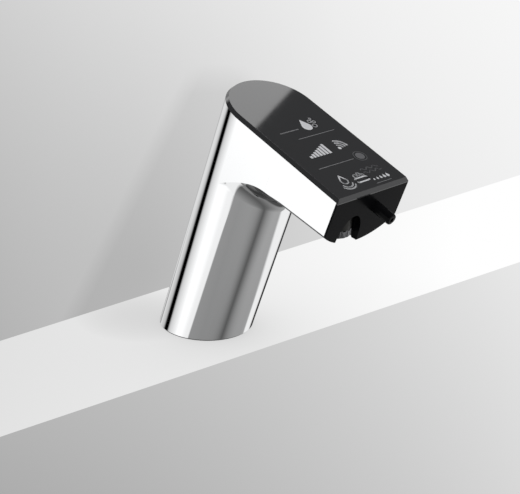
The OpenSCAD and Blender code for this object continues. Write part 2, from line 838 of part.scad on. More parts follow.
body_shell();
sensor_cover();
cover_gasket();
nose_plate();
nose_screws();
electronics_tray();
tray_screws();
sensor_board();
proximity_sensors();
indicator_leds();
light_wells();
board_connector();
outlet_block();
block_screws();
aerator_ring();
aerator_insert();
aerator_screen();
aerator_seal();
water_pipe();
pipe_seals();
soap_nozzle();
nozzle_grommet();
soap_pipe();
foot_plug();
foot_seal();
cable_grommet();
fixing_stud();
rubber_washer();
clamp_plate();
fixing_nut();
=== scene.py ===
"""Looks of the leaning sensor tap, piece by piece from the casting to the fixing kit, and its stage."""
import math

import bmesh
import bpy
from mathutils import Matrix, Vector


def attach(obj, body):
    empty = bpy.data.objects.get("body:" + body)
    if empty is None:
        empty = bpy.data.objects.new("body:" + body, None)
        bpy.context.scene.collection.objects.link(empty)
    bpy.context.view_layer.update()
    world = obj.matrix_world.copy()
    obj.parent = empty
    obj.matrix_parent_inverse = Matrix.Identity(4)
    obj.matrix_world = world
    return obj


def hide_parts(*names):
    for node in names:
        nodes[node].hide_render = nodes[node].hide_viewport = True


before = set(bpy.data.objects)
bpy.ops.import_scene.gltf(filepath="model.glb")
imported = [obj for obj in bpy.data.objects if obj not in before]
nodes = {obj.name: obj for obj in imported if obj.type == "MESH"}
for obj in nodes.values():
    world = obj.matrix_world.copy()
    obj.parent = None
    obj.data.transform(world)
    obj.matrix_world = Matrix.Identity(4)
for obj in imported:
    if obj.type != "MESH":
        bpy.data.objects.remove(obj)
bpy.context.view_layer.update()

# Casting: column and head are one hollow brass casting, ground, polished and chromed. It is drawn
# as exact patches, so that the mirror finish shows no facets: the round column, the neck's swept
# blend, the bowed belly, the lower edges, the flat sides and the foot's rim. Sizes in millimetres.
MM = 0.001
COLUMN_R = 26.0
WALL = 3.0
RIM = 148.0
REACH = 74.5
LEAN = math.radians(22)
SIDE_H = 21.0
BELLY = 9.0
TAPER = math.radians(4)
EDGE_R = 2.0
EDGE_START = 0.02
EDGE_FULL_AT = 0.3
NECK_R = 14.0
FLANGE_T = 1.2
SEAL_T = 0.8
OUTLET = (-8.0, 65.5, 119.25)
OUTLET_TILT = math.radians(15)
CHIN_R = 11.5
CHIN_BACK = 0.6
SEAM = 0.1
BELLY_R = (COLUMN_R**2 + BELLY**2) / (2 * BELLY)
BELLY_N = RIM - SIDE_H - BELLY + BELLY_R
SHELL_FRONT = REACH - FLANGE_T
FULL_TURN = 2 * math.pi
HALF_TURN = FULL_TURN / 2
QUARTER = FULL_TURN / 4
HAIR = 1e-7
ROUND_STEPS = 90
HEIGHT_STEPS = 12
NECK_STEPS = (120, 20)
BELLY_STEPS = 24
ALONG_STEPS = 40
EDGE_STEPS = 8
SIDE_STEPS = 4
FOOT_STEPS = 144


def effect_group():
    """Shared shader group: roughness with fine wear, and the normal of a faint relief."""
    g = bpy.data.node_groups.new("fine_wear", "ShaderNodeTree")
    inputs = (("Roughness", 0.2), ("Variation", 0.1), ("Scale", 400.0), ("Relief", 0.02))
    for name, value in inputs:
        s = g.interface.new_socket(name, in_out="INPUT", socket_type="NodeSocketFloat")
        s.default_value = value
    g.interface.new_socket("Roughness", in_out="OUTPUT", socket_type="NodeSocketFloat")
    g.interface.new_socket("Normal", in_out="OUTPUT", socket_type="NodeSocketVector")
    add = g.nodes.new
    gin, gout = add("NodeGroupInput"), add("NodeGroupOutput")
    coord, noise, bump = add("ShaderNodeTexCoord"), add("ShaderNodeTexNoise"), add("ShaderNodeBump")
    centre, spread, total = (add("ShaderNodeMath") for _ in range(3))
    centre.operation, spread.operation, total.operation = "SUBTRACT", "MULTIPLY", "ADD"
    centre.inputs[1].default_value = 0.5
    total.use_clamp = True
    noise.inputs["Detail"].default_value = 4
    bump.inputs["Distance"].default_value = 0.00004
    link = g.links.new
    link(coord.outputs["Object"], noise.inputs["Vector"])
    link(gin.outputs["Scale"], noise.inputs["Scale"])
    link(noise.outputs["Fac"], centre.inputs[0])
    link(centre.outputs[0], spread.inputs[0])
    link(gin.outputs["Variation"], spread.inputs[1])
    link(spread.outputs[0], total.inputs[0])
    link(gin.outputs["Roughness"], total.inputs[1])
    link(noise.outputs["Fac"], bump.inputs["Height"])
    link(gin.outputs["Relief"], bump.inputs["Strength"])
    link(total.outputs[0], gout.inputs["Roughness"])
    link(bump.outputs["Normal"], gout.inputs["Normal"])
    return g


WEAR = effect_group()


def material(name, color, metallic=0.0, roughness=0.3, variation=0.05, scale=400, relief=0.02, **more):
    """A Principled material with the shared wear; more sets other sockets by name."""
    m = bpy.data.materials.new(name)
    m.use_nodes = True
    tree = m.node_tree
    shader = tree.nodes["Principled BSDF"]
    shader.inputs["Base Color"].default_value = (*color, 1)
    shader.inputs["Metallic"].default_value = metallic
    for socket, value in more.items():
        shader.inputs[socket.replace("_", " ")].default_value = value
    wear = tree.nodes.new("ShaderNodeGroup")
    wear.node_tree = WEAR
    for socket, value in (
        ("Roughness", roughness), ("Variation", variation), ("Scale", scale), ("Relief", relief)
    ):
        wear.inputs[socket].default_value = value
    tree.links.new(wear.outputs["Roughness"], shader.inputs["Roughness"])
    if relief:
        tree.links.new(wear.outputs["Normal"], shader.inputs["Normal"])
    return m


CHROME = material("polished_chrome", (0.93, 0.935, 0.94), 1.0, 0.035, 0.02, 160, 0.0)


def spaced(a, b, count):
    """count + 1 values from a to b."""
    return [a + (b - a) * i / count for i in range(count + 1)]


def lean_point(x, q, n):
    """World place in metres of a point in the leaning frame: q runs out along the head, n up the axis."""
    y = -q * math.cos(LEAN) - n * math.sin(LEAN)
    z = -q * math.sin(LEAN) + n * math.cos(LEAN)
    return Vector((x, y, z)) * MM


class Skin:
    """A mesh of grids of points, each with exact normals from its own surface."""

    NUDGE = 1e-4
    NO_NORMAL = 1e-16

    def __init__(self):
        self.points, self.faces, self.normals = [], [], []

    def grid(self, place, us, vs, wall=0.0, flip=False):
        """Adds place(u, v) over two lists of values, and its inner side where it has a wall."""
        du, dv = (us[-1] - us[0]) * self.NUDGE, (vs[-1] - vs[0]) * self.NUDGE
        rows = []
        for u in us:
            row = []
            for v in vs:
                p = place(u, v)
                su = du if u + du <= max(us[0], us[-1]) else -du
                sv = dv if v + dv <= max(vs[0], vs[-1]) else -dv
                a = (place(u + su, v) - p) * (1 if su == du else -1)
                b = (place(u, v + sv) - p) * (1 if sv == dv else -1)
                n = a.cross(b)
                row.append((p, n.normalized() if n.length > self.NO_NORMAL else None))
            rows.append(row)
        sign = -1 if flip else 1
        for i, row in enumerate(rows):
            for j, (p, n) in enumerate(row):
                if n is None:
                    near = [rows[a][b][1] for a in (i - 1, i, i + 1) for b in (j - 1, j, j + 1)
                            if 0 <= a < len(rows) and 0 <= b < len(row) and rows[a][b][1]]
                    row[j] = (p, near[0] if near else Vector((0, 0, 1)))
        self._add([[(p, n * sign) for p, n in row] for row in rows], flip)
        if wall:
            inner = [[(p - n * sign * wall * MM, -n * sign) for p, n in row] for row in rows]
            self._add(inner, not flip)

    def _add(self, rows, flip):
        base, width = len(self.points), len(rows[0])
        for row in rows:
            for p, n in row:
                self.points.append(p)
                self.normals.append(n)
        for i in range(len(rows) - 1):
            for j in range(width - 1):
                a = base + i * width + j
                face = [a, a + width, a + width + 1, a + 1]
                self.faces.append(face[::-1] if flip else face)

    def object(self, name, look):
        mesh = bpy.data.meshes.new(name)
        mesh.from_pydata(self.points, [], self.faces)
        mesh.validate()
        mesh.polygons.foreach_set("use_smooth", [True] * len(mesh.polygons))
        mesh.normals_split_custom_set([self.normals[l.vertex_index] for l in mesh.loops])
        mesh.materials.append(look)
        obj = bpy.data.objects.new(name, mesh)
        bpy.context.collection.objects.link(obj)
        return obj


def section_height(n, q):
    """Height along the lean, at q out, of a point that lies at n in the head's front section."""
    return RIM + (n - RIM) / math.cos(TAPER) - (REACH - q) * math.tan(TAPER)


def underside(x, q):
    """Height of the head's bowed underside."""
    x = min(abs(x), COLUMN_R)
    return section_height(BELLY_N - math.sqrt(BELLY_R**2 - x * x), q)


def foot_height(q):
    """Height along the lean at which the casting stands on its seal."""
    return (SEAL_T + q * math.sin(LEAN)) / math.cos(LEAN)


def column_top(turn):
    """Height where the column's wall ends: at the neck in front and at the rim behind."""
    if abs(turn) > QUARTER:
        return RIM
    return underside(COLUMN_R * math.sin(turn), COLUMN_R * math.cos(turn)) - NECK_R


def column(turn, t):
    x, q = COLUMN_R * math.sin(turn), COLUMN_R * math.cos(turn)
    return lean_point(x, q, foot_height(q) + (column_top(turn) - foot_height(q)) * t)


def neck_end(turn):
    """How far round the blend goes before the head's side cuts it."""
    reach = COLUMN_R / max(HAIR, abs(math.sin(turn)))
    if reach >= COLUMN_R + NECK_R:
        return QUARTER
    return math.acos(1 - (reach - COLUMN_R) / NECK_R)


def neck(turn, t):
    a = neck_end(turn) * t
    r = COLUMN_R + NECK_R * (1 - math.cos(a))
    x, q = r * math.sin(turn), r * math.cos(turn)
    return lean_point(x, q, underside(x, q) - NECK_R * (1 - math.sin(a)))


def edge_radius(t):
    """The lower edge is sharp at the neck and rounds off along the head."""
    f = min(1, t / EDGE_FULL_AT)
    return max(EDGE_START, EDGE_R * f * f * (3 - 2 * f))


def edge_centre(t):
    """The edge's radius, the centre of its round, and the x where it meets the belly."""
    e = edge_radius(t)
    x = COLUMN_R - e
    n = BELLY_N - math.sqrt((BELLY_R - e) ** 2 - x * x)
    return e, x, n, x * BELLY_R / (BELLY_R - e)


def neck_line(x):
    """Where the belly meets the neck."""
    return math.sqrt((COLUMN_R + NECK_R) ** 2 - x * x)


def chin_line(x):
    """Where the belly stops behind the chin."""
    q = OUTLET[1] - CHIN_BACK
    half = math.sqrt(max(0, (CHIN_R + SEAM) ** 2 - (x - OUTLET[0]) ** 2))
    return q - half / math.cos(OUTLET_TILT)


def belly(low, high, front):
    """A strip of the belly between two lines; None stands for the lower edge."""

    def place(s, t):
        meet = edge_centre(t)[3]
        a = -meet if low is None else low
        b = meet if high is None else high
        x = a + (b - a) * s
        q = neck_line(x) + (front(x) - neck_line(x)) * t
        return lean_point(x, q, underside(x, q))

    return place


def edge_q(t):
    meet = edge_centre(t)[3]
    return neck_line(meet) + (SHELL_FRONT - neck_line(meet)) * t


def lower_edge(side):
    def place(s, t):
        e, x, n, meet = edge_centre(t)
        start = math.atan2(meet, math.sqrt(BELLY_R**2 - meet**2))
        a = start + (QUARTER - start) * s
        q = edge_q(t)
        return lean_point(side * (x + e * math.sin(a)), q, section_height(n - e * math.cos(a), q))

    return place


def side_front(side):
    def place(s, t):
        n = edge_centre(t)[2]
        q = edge_q(t)
        low = section_height(n, q)
        return lean_point(side * COLUMN_R, q, low + (RIM - low) * s)

    return place


def side_back(side):
    first = math.asin(COLUMN_R / (COLUMN_R + NECK_R))

    def place(s, u):
        turn = QUARTER + (first - QUARTER) * u
        q = COLUMN_R / math.tan(turn)
        low = underside(COLUMN_R, q) - NECK_R * (1 - math.sin(neck_end(turn)))
        return lean_point(side * COLUMN_R, q, low + (RIM - low) * s)

    return place


def nose_front(_x):
    return SHELL_FRONT


def foot_rim(turn, t):
    r = COLUMN_R - WALL * t
    x, q = r * math.sin(turn), r * math.cos(turn)
    return lean_point(x, q, foot_height(q))


shell = Skin()
across, along = spaced(0, 1, BELLY_STEPS), spaced(0, 1, ALONG_STEPS)
side_rows = spaced(0, 1, SIDE_STEPS)
shell.grid(column, spaced(-QUARTER, QUARTER, ROUND_STEPS), spaced(0, 1, HEIGHT_STEPS), WALL)
behind = spaced(QUARTER + HAIR, 3 * QUARTER - HAIR, ROUND_STEPS)
shell.grid(column, behind, spaced(0, 1, HEIGHT_STEPS), WALL)
shell.grid(neck, spaced(-QUARTER, QUARTER, NECK_STEPS[0]), spaced(0, 1, NECK_STEPS[1]))
chin_low, chin_high = OUTLET[0] - CHIN_R - SEAM, OUTLET[0] + CHIN_R + SEAM
for low, high, front in (
    (None, chin_low, nose_front), (chin_low, chin_high, chin_line), (chin_high, None, nose_front)
):
    shell.grid(belly(low, high, front), across, along, WALL)
for side in (-1, 1):
    shell.grid(lower_edge(side), spaced(0, 1, EDGE_STEPS), along, 0, side < 0)
    shell.grid(side_front(side), side_rows, along, WALL, side < 0)
    shell.grid(side_back(side), side_rows, along, WALL, side < 0)
shell.grid(foot_rim, spaced(-HALF_TURN, HALF_TURN, FOOT_STEPS), (0, 1), 0, True)
casting = shell.object("casting", CHROME)
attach(casting, "tap")
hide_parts("body_shell")

# Foot: a thin rubber seal lies under the casting. The machined brass plug is pressed into it and
# holds the stud and the ports, and a rubber grommet lines the sensor cable's hole. They keep their
# CAD meshes, whose loose triangles are joined and shaded smooth.
RUBBER = material("black_rubber", (0.022, 0.022, 0.022), 0.0, 0.62, 0.2, 1500, 0.25)
BRASS = material("machined_brass", (0.72, 0.5, 0.2), 1.0, 0.24, 0.12, 700, 0.08)
MERGE_M = 0.000002
SHARP_OVER = math.radians(32)


def smoothing_group():
    """Geometry Nodes: merge, split the edges over an angle, shade the rest smooth."""
    g = bpy.data.node_groups.new("smooth_by_angle", "GeometryNodeTree")
    g.interface.new_socket("Geometry", in_out="INPUT", socket_type="NodeSocketGeometry")
    g.interface.new_socket("Geometry", in_out="OUTPUT", socket_type="NodeSocketGeometry")
    add, link = g.nodes.new, g.links.new
    gin, gout = add("NodeGroupInput"), add("NodeGroupOutput")
    merge, split = add("GeometryNodeMergeByDistance"), add("GeometryNodeSplitEdges")
    angle, test = add("GeometryNodeInputMeshEdgeAngle"), add("FunctionNodeCompare")
    smooth = add("GeometryNodeSetShadeSmooth")
    merge.inputs["Distance"].default_value = MERGE_M
    test.operation = "GREATER_THAN"
    test.inputs[1].default_value = SHARP_OVER
    link(gin.outputs[0], merge.inputs["Geometry"])
    link(merge.outputs[0], split.inputs["Mesh"])
    link(angle.outputs["Unsigned Angle"], test.inputs[0])
    link(test.outputs["Result"], split.inputs["Selection"])
    link(split.outputs[0], smooth.inputs["Geometry"])
    link(smooth.outputs[0], gout.inputs[0])
    return g


SMOOTH = smoothing_group()


def finish_cad(look, *names):
    """CAD nodes that keep their own mesh get one material and smooth shading."""
    for name in names:
        obj = nodes[name]
        obj.data.materials.clear()
        obj.data.materials.append(look)
        obj.modifiers.new("smooth", "NODES").node_group = SMOOTH


finish_cad(RUBBER, "foot_seal", "cable_grommet")
finish_cad(BRASS, "foot_plug")

# Outlet block: dull nickel-plated brass on two posts of the casting, held by two screws. The copper
# water pipe runs up from the foot into it, with a rubber ring at each end.
STEEL = material("zinc_plated_steel", (0.62, 0.63, 0.64), 1.0, 0.3, 0.15, 500, 0.08)
# The outlet block's near-black colour is painted shade of the nose's pocket; its nickel plating is lighter.
SHADED_NICKEL = material("dull_nickel_painted_shade", (0.028, 0.0275, 0.026), 1.0, 0.4, 0.12, 700, 0.08)
COPPER = material("copper_pipe", (0.78, 0.4, 0.24), 1.0, 0.22, 0.15, 300, 0.05)
finish_cad(SHADED_NICKEL, "outlet_block")
finish_cad(STEEL, "block_screws")
finish_cad(COPPER, "water_pipe")
finish_cad(RUBBER, "pipe_seals")

# Nose plate: a black moulding closes the head, with a plug inside and a chin round the outlet. Two
# steel screws through its ears hold it to the casting.
NOSE_BLACK = material(
    "nose_black", (0.004, 0.004, 0.0044), 0.0, 0.3, 0.1, 900, 0.05, Specular_IOR_Level=0.022
)
finish_cad(NOSE_BLACK, "nose_plate")
finish_cad(STEEL, "nose_screws")

# Aerator: a nylon insert with hexagonal cells, a woven steel screen and a flat rubber seal sit in a
# chromed ring. The ring screws into the outlet block by hand, with flutes round its mouth.
NYLON = material("insert_nylon", (0.74, 0.75, 0.75), 0.0, 0.38, 0.1, 900, 0.08)
# The ring's dark colour is painted shade of the pocket round it; its chrome is bright.
SHADED_CHROME = material("chrome_painted_shade", (0.13, 0.13, 0.135), 1.0, 0.2, 0.1, 700, 0.05)
FLUTES = 16
FLUTE_R = 1.0
STEPS_PER_FLUTE = 16
RING_R = 9.0
RING_H = 3.9
LIP_R = 0.5
LIP_CHAMFER = 0.15
SHOULDER = (0.35, 0.4)
THREAD_R = 7.95
THREAD_TOP = 10.0
BORE_R = 5.8
SEAT_R = 6.3
SEAT_H = 1.0
MOUTH = 0.25
WIRE_SCALE = 700
WIRE_RELIEF_M = 0.0002
CREASE = math.radians(28)
LEAN_MATRIX = Matrix.Rotation(LEAN, 4, "X")
OUTLET_MATRIX = (
    LEAN_MATRIX
    @ Matrix.Translation(Vector((OUTLET[0], -OUTLET[1], OUTLET[2])) * MM)
    @ Matrix.Rotation(-OUTLET_TILT, 4, "X")
)


def mesh_screen_material():
    """Woven steel mesh: two crossed waves give the wires of the aerator's screen."""
    m = material("woven_screen", (0.6, 0.61, 0.62), 1.0, 0.3, 0.1, 600, 0.0)
    tree = m.node_tree
    coord = tree.nodes.new("ShaderNodeTexCoord")
    bump = tree.nodes.new("ShaderNodeBump")
    bump.inputs["Distance"].default_value = WIRE_RELIEF_M
    total = tree.nodes.new("ShaderNodeMath")
    total.operation = "MAXIMUM"
    for i, direction in enumerate(("X", "Y")):
        wave = tree.nodes.new("ShaderNodeTexWave")
        wave.bands_direction = direction
        wave.inputs["Scale"].default_value = WIRE_SCALE
        tree.links.new(coord.outputs["Object"], wave.inputs["Vector"])
        tree.links.new(wave.outputs["Fac"], total.inputs[i])
    tree.links.new(total.outputs[0], bump.inputs["Height"])
    tree.links.new(bump.outputs["Normal"], tree.nodes["Principled BSDF"].inputs["Normal"])
    return m


def solid(name, build, look, body, node=None, bevel=0.0, matrix=None):
    """A bmesh piece: built in millimetres, placed, bevelled and put on its body."""
    bm = bmesh.new()
    build(bm)
    bmesh.ops.remove_doubles(bm, verts=bm.verts, dist=1e-5)
    bmesh.ops.recalc_face_normals(bm, faces=bm.faces)
    bmesh.ops.scale(bm, vec=(MM, MM, MM), verts=bm.verts)
    if matrix is not None:
        bm.transform(matrix)
    mesh = bpy.data.meshes.new(name)
    bm.to_mesh(mesh)
    bm.free()
    mesh.polygons.foreach_set("use_smooth", [True] * len(mesh.polygons))
    mesh.set_sharp_from_angle(angle=CREASE)
    mesh.materials.append(look)
    obj = bpy.data.objects.new(name, mesh)
    bpy.context.collection.objects.link(obj)
    if bevel:
        b = obj.modifiers.new("edges", "BEVEL")
        b.width, b.segments, b.limit_method = bevel * MM, 3, "ANGLE"
        b.angle_limit = CREASE
        b.harden_normals = True
    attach(obj, body)
    if node:
        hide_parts(node)
    return obj


def rings(bm, outlines, capped=True):
    """Joins closed outlines of equal counts into a skin, with or without caps at its ends."""
    rows = [[bm.verts.new(p) for p in outline] for outline in outlines]
    count = len(rows[0])
    for a, b in zip(rows, rows[1:]):
        for i in range(count):
            j = (i + 1) % count
            bm.faces.new((a[i], a[j], b[j], b[i]))
    if capped:
        bm.faces.new(rows[0])
        bm.faces.new(rows[-1])


def turned(profile, turns):
    """Rings of a profile of (radius, height) at the given turns about Z."""
    return [[(r * math.cos(a), r * math.sin(a), z) for a in turns] for r, z in profile]


def fluted(r, turn):
    """Radius with the flutes cut in."""
    pitch = FULL_TURN / FLUTES
    off = (turn + pitch / 2) % pitch - pitch / 2
    s = (RING_R + FLUTE_R / 2) * math.sin(off)
    if abs(s) >= FLUTE_R:
        return r
    return min(r, (RING_R + FLUTE_R / 2) * math.cos(off) - math.sqrt(FLUTE_R**2 - s * s))


def build_ring(bm):
    turns = spaced(0, FULL_TURN, FLUTES * STEPS_PER_FLUTE)[:-1]
    grip = [(RING_R - LIP_R, 0.0), (RING_R - LIP_CHAMFER, LIP_CHAMFER), (RING_R, LIP_R),
            (RING_R, RING_H - SHOULDER[1]), (RING_R - SHOULDER[0], RING_H)]
    rows = [[(fluted(r, a) * math.cos(a), fluted(r, a) * math.sin(a), z) for a in turns] for r, z in grip]
    rows += turned([(THREAD_R, RING_H), (THREAD_R, THREAD_TOP), (SEAT_R, THREAD_TOP), (SEAT_R, SEAT_H),
                    (BORE_R, SEAT_H), (BORE_R, MOUTH), (BORE_R + MOUTH, 0.0)], turns)
    rings(bm, [*rows, rows[0]], False)


solid("aerator_collar", build_ring, SHADED_CHROME, "ring", "aerator_ring", 0, OUTLET_MATRIX)
finish_cad(NYLON, "aerator_insert")
finish_cad(mesh_screen_material(), "aerator_screen")
finish_cad(RUBBER, "aerator_seal")

# Soap nozzle: a black plastic tube with a rounded mouth, pushed through the nose plate into a rubber
# grommet. An ivory plastic pipe brings the soap to it from the foot.
NOZZLE_BLACK = material(
    "nozzle_black", (0.004, 0.004, 0.0045), 0.0, 0.2, 0.05, 900, 0.03, Specular_IOR_Level=0.05
)
PIPE_WHITE = material("soap_pipe_plastic", (0.78, 0.77, 0.71), 0.0, 0.35, 0.1, 500, 0.06)
NOZZLE_R = 3.0
NOZZLE_HALF = 12.0
NOZZLE_BORE = 1.2
NOZZLE_SOCKET_R = 2.05
NOZZLE_SOCKET_L = 6.0
NOZZLE_AT = (5.5, -REACH, 137.9)


def build_nozzle(bm):
    r, bore, front = NOZZLE_R, NOZZLE_BORE, NOZZLE_HALF
    profile = [(bore, front), (bore + 0.5, front), (r - 0.7, front), (r - 0.2, front - 0.2), (r, front - 0.7),
               (r, -front), (NOZZLE_SOCKET_R, -front), (NOZZLE_SOCKET_R, NOZZLE_SOCKET_L - front),
               (bore, NOZZLE_SOCKET_L - front), (bore, front)]
    rings(bm, turned(profile, spaced(0, FULL_TURN, 64)[:-1]), False)


nozzle_place = LEAN_MATRIX @ Matrix.Translation(Vector(NOZZLE_AT) * MM) @ Matrix.Rotation(QUARTER, 4, "X")
solid("nozzle", build_nozzle, NOZZLE_BLACK, "tap", "soap_nozzle", 0, nozzle_place)
finish_cad(RUBBER, "nozzle_grommet")
finish_cad(PIPE_WHITE, "soap_pipe")

# Electronics: a black tray hangs from the casting's lugs by four steel screws. It carries a green
# circuit board with three sensors in dark filter plastic, six lamps, three white light wells under
# the signs and an ivory header for the cable.
TRAY_PLASTIC = material("tray_plastic", (0.045, 0.047, 0.05), 0.0, 0.5, 0.15, 1200, 0.12)
BOARD_GREEN = material("board_green", (0.02, 0.13, 0.06), 0.0, 0.3, 0.1, 900, 0.05)
SENSOR_BLACK = material("sensor_violet_black", (0.03, 0.012, 0.045), 0.0, 0.12, 0.05, 900, 0.02)
LAMP = material("lamp_resin", (0.85, 0.82, 0.6), 0.0, 0.2, 0.05, 900, 0.02)
WELL_WHITE = material("well_white", (0.8, 0.8, 0.78), 0.0, 0.45, 0.1, 1200, 0.1)
finish_cad(TRAY_PLASTIC, "electronics_tray")
finish_cad(STEEL, "tray_screws")
finish_cad(BOARD_GREEN, "sensor_board")
finish_cad(SENSOR_BLACK, "proximity_sensors")
finish_cad(LAMP, "indicator_leds")
finish_cad(WELL_WHITE, "light_wells")
finish_cad(PIPE_WHITE, "board_connector")

# Sensor cover: one moulding of gloss black plastic over the whole top. It has a bevel all round, a
# lip that hangs over the nose plate and a ring below that locates it in the casting. It is pushed
# on from above, on a rubber gasket in the rim's step.
GLOSS_BLACK = material("gloss_black_cover", (0.036, 0.036, 0.037), 0.0, 0.03, 0.02, 220, 0.0, IOR=1.5)
COVER_T = 2.0
BEVEL_W = 1.4
GASKET_T = 0.8
COVER_SOFTENING = 0.12
RING_INSET = WALL + 0.1
RING_FRONT = 3.6
RING_DEPTH = 3
SKIN_GAP = 0.001


def outline(inset, front, z):
    """The cover's outline: straight across the nose and round behind."""
    r = COLUMN_R - inset
    y = -(REACH - front)
    back = [(r * math.cos(a), r * math.sin(a), z) for a in spaced(0, HALF_TURN, 96)]
    return [(r, y, z), *back, (-r, y, z)]


def build_cover(bm):
    rings(bm, [outline(0, 0, RIM), outline(BEVEL_W, BEVEL_W, RIM + COVER_T)])
    lip = [(-COLUMN_R, -REACH), (COLUMN_R, -REACH), (COLUMN_R, -SHELL_FRONT), (-COLUMN_R, -SHELL_FRONT)]
    rings(bm, [[(x, y, z) for x, y in lip] for z in (RIM - GASKET_T, RIM - SKIN_GAP)])
    rings(bm, [outline(RING_INSET, RING_FRONT, z) for z in (RIM - RING_DEPTH, RIM - SKIN_GAP)])


solid("cover", build_cover, GLOSS_BLACK, "tap", "sensor_cover", COVER_SOFTENING, LEAN_MATRIX)
finish_cad(RUBBER, "cover_gasket")

# Signs: generic pictograms and thin lines, screen-printed in three greys on the cover's gloss.
# They are flat faces a hair above it, drawn with strokes and filled shapes in millimetres.
SIGN_BRIGHT = material("sign_bright", (0.54, 0.54, 0.55), 0.0, 0.5, 0.1, 900, 0.0)
SIGN_SOFT = material("sign_soft", (0.2, 0.2, 0.205), 0.0, 0.5, 0.1, 900, 0.0)
SIGN_DIM = material("sign_dim", (0.07, 0.07, 0.074), 0.0, 0.5, 0.1, 900, 0.0)
INK_T = 0.02
DROP_FROM = math.radians(150)
DROP_TO = math.radians(390)
DROP_TIP = 2.1


class Signs:
    """Flat strokes and shapes round a centre on the panel; x to the right and y up as the user reads."""

    def __init__(self, cx, cq):
        self.cx, self.cq, self.parts = cx, cq, []

    def fill(self, points):
        self.parts.append([(self.cx + x, -(self.cq - y)) for x, y in points])

    def stroke(self, points, width, closed=False):
        ends = points + points[:1] if closed else points
        for (x1, y1), (x2, y2) in zip(ends, ends[1:]):
            length = math.hypot(x2 - x1, y2 - y1)
            dx, dy = (y1 - y2) / length * width / 2, (x2 - x1) / length * width / 2
            self.fill([(x1 + dx, y1 + dy), (x2 + dx, y2 + dy), (x2 - dx, y2 - dy), (x1 - dx, y1 - dy)])
        for x, y in points:
            self.disc(x, y, width / 2, 10)

    def disc(self, x, y, r, count=28):
        turns = spaced(0, FULL_TURN, count)[:-1]
        self.fill([(x + r * math.cos(a), y + r * math.sin(a)) for a in turns])

    def arc(self, x, y, r, a, b, width):
        """A stroke from a to b degrees."""
        turns = spaced(math.radians(a), math.radians(b), max(6, int(abs(b - a) / 9)))
        self.stroke([(x + r * math.cos(t), y + r * math.sin(t)) for t in turns], width)

    def drop(self, x, y, r, width=None):
        """A drop of radius r: filled, or outlined with a width."""
        round_part = [(x + r * math.cos(t), y + r * math.sin(t)) for t in spaced(DROP_FROM, DROP_TO, 26)]
        points = round_part + [(x, y + DROP_TIP * r)]
        if width:
            self.stroke(points, width, True)
        else:
            self.fill(points)

    def bar(self, x1, y1, x2, y2):
        self.fill([(x1, y1), (x2, y1), (x2, y2), (x1, y2)])


def put_signs(name, look, signs):
    """Joins signs of one grey into one printed piece on the cover."""

    def build(bm):
        for sign in signs:
            for part in sign.parts:
                bm.faces.new([bm.verts.new((x, y, 0)) for x, y in part])

    place = LEAN_MATRIX @ Matrix.Translation((0, 0, (RIM + COVER_T + INK_T) * MM))
    solid(name, build, look, "tap", None, 0, place)


near = Signs(10.2, 38.6)
near.disc(-2.6, -2.6, 1.0)
for r in (2.4, 4.2, 6.0):
    near.arc(-2.6, -2.6, r, 8, 82, 1.1)

drop_on_waves = Signs(-11.3, 63.6)
drop_on_waves.drop(0, 0.2, 2.1, 0.8)
drop_on_waves.arc(0, -1.0, 3.6, 205, 335, 0.75)
drop_on_waves.arc(0, -1.0, 5.1, 215, 325, 0.75)

drop_and_bubbles = Signs(6, 19)
drop_and_bubbles.drop(-1.9, -1.2, 3.0)
for x, y, r in ((3.0, -1.9, 1.3), (5.0, 0.9, 0.85), (2.7, 2.0, 1.05), (4.7, 3.8, 0.6)):
    drop_and_bubbles.arc(x, y, r, 0, 360, 0.62)

level_bars = Signs(-6.6, 39)
for i in range(7):
    level_bars.bar(-7.6 + i * 2.2, -3.8, -6.0 + i * 2.2, -2.0 + i * 1.0)

drop_row = Signs(10.4, 67.8)
for i in range(5):
    drop_row.drop(-4.6 + i * 2.5, -0.5, 0.5 + i * 0.12)

foam_dish = Signs(-0.6, 64.4)
foam_dish.stroke([(-3.6, -2.9), (3.6, -2.9), (4.2, -2.2), (4.2, -0.5), (3.6, 0.2), (-3.6, 0.2),
                  (-4.2, -0.5), (-4.2, -2.2)], 0.9, True)
for x, y, r in ((-1.9, 1.9, 1.2), (0.9, 2.7, 1.0), (2.9, 1.5, 0.7)):
    foam_dish.arc(x, y, r, 0, 360, 0.75)

LINE_T = 0.28
SHORT_LINE_T = 0.25
lines = Signs(0, 0)
for q, left, right in ((27.5, -9, 17), (51, -17, 8)):
    lines.bar(left, -q - LINE_T / 2, right, -q + LINE_T / 2)
lines.bar(4.5, -71.4, 15.5, -71.4 + SHORT_LINE_T)
dots = Signs(-9, 20.4)
for i in range(12):
    dots.disc(-6 + i * 1.1, 0, 0.38, 10)

waves = Signs(10.2, 61)
for y in (-1.3, 1.3):
    waves.stroke([(-6 + i * 0.5, y + 0.75 * math.sin(i * 0.75)) for i in range(25)], 0.6)
pool = Signs(13.4, 50.4)
pool.disc(0, 0, 2.6)
pool.arc(0, 0, 3.7, 0, 360, 0.4)

bright_signs = [near, drop_on_waves, drop_and_bubbles, level_bars, drop_row, foam_dish]
put_signs("signs_bright", SIGN_BRIGHT, bright_signs)
put_signs("signs_soft", SIGN_SOFT, [lines, dots])
put_signs("signs_dim", SIGN_DIM, [waves, pool])

# Stud: an M8 steel stud with a rolled thread, screwed into the foot plug. Geometry Nodes shape it from
# a fine cylinder whose radius follows the thread and fades out at both ends.
STUD_Y = 13.5
STUD_LOW = -75.0
STUD_TOP = 11.0
STUD_R = 4.0
STUD_SIDES = 24
STUD_STEPS = 8
PITCH = 1.25
THREAD_DEPTH = 0.62
RUNOUT = 0.6


